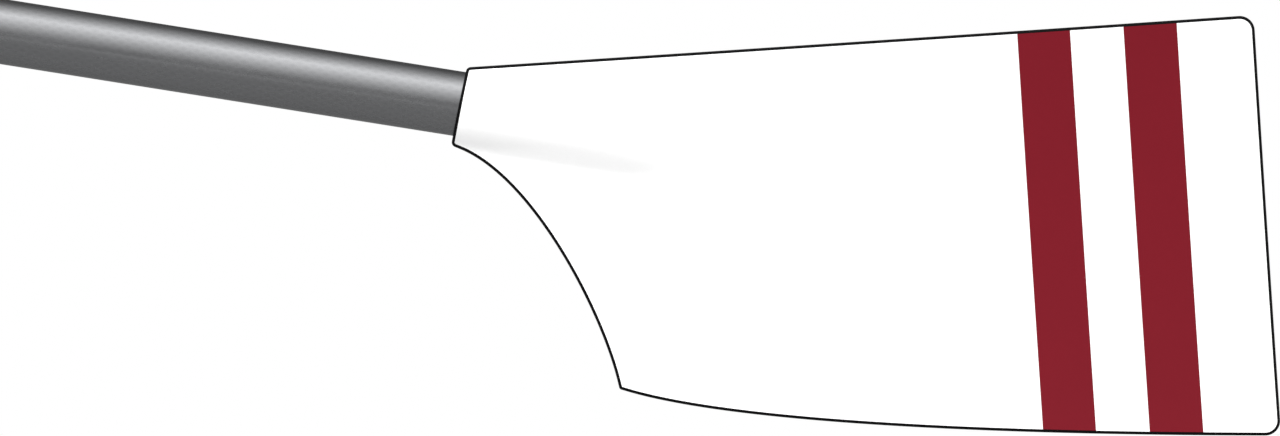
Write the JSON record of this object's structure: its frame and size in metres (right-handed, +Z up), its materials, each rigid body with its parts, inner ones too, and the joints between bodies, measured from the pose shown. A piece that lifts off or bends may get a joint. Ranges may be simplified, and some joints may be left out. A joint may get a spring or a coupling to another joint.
{
  "type": "rowing oar",
  "caption": "Sweep rowing oar: round tapering shaft, short wide hatchet blade with a hollow power face, sleeve with a sliding button, and a handle that slides in the shaft to set the length.",
  "frame": {"origin": "on the shaft's axis at the outboard face of the button, which bears on the oarlock", "axes": "+X along the shaft towards the blade; +Z up with the blade squared; +Y towards the boat's bow, so the blade's hollow power face looks along -Y and the sleeve's squared flat along +Y"},
  "size_m": [3.6789, 0.1062, 0.2913],
  "materials": {
    "blade_paint": "white gloss paint over laminate",
    "stripe_paint": "dark red gloss paint",
    "foam": "rigid foam",
    "edge_resin": "black hard resin",
    "carbon": "satin dark grey carbon tube",
    "handle_carbon": "satin carbon tube",
    "black_plastic": "moulded plastic",
    "sleeve_plastic": "smooth moulded plastic",
    "wear_plastic": "hard slippery plastic",
    "button_plastic": "moulded plastic",
    "clamp_aluminium": "bead blasted",
    "screw_steel": "stainless",
    "grip_rubber": "textured rubber",
    "rubber": "rubber"
  },
  "bodies": {
    "oar": {"blade_face_skin": "blade_paint", "blade_back_skin": "blade_paint", "blade_core": "foam", "blade_edge_band": "edge_resin", "shaft_tube": "carbon", "shaft_end_plug": "foam", "handle_bush": "black_plastic", "sleeve": "sleeve_plastic", "wear_plate_squared": "wear_plastic", "wear_plate_feathered": "wear_plastic", "clamp_ring": "clamp_aluminium", "clamp_washer": "screw_steel", "clamp_nut": "screw_steel"},
    "button": {"button": "button_plastic", "button_washer": "screw_steel", "button_nut": "screw_steel"},
    "button_screw": {"button_screw": "screw_steel"},
    "clamp_screw": {"clamp_screw": "screw_steel"},
    "handle": {"handle_tube": "handle_carbon", "tail_ring": "black_plastic", "tail_o_ring": "rubber", "tail_plug": "foam", "inner_grip": "grip_rubber", "outer_grip": "grip_rubber", "end_cap": "rubber"}
  },
  "joints": [
    {"name": "button_slide", "type": "slide", "parent": "oar", "child": "button", "axis": [1, 0, 0], "range_m": [-0.04, 0.04]},
    {"name": "button_screw_turn", "type": "hinge", "parent": "button", "child": "button_screw", "pos_m": [-0.031, -0.04, 0], "axis": [0, 0, 1], "range_deg": [0, 720]},
    {"name": "handle_slide", "type": "slide", "parent": "oar", "child": "handle", "axis": [-1, 0, 0], "range_m": [0, 0.1]},
    {"name": "clamp_screw_turn", "type": "hinge", "parent": "oar", "child": "clamp_screw", "pos_m": [-0.488, -0.0295, 0], "axis": [0, 0, 1], "range_deg": [0, 720]}
  ]
}
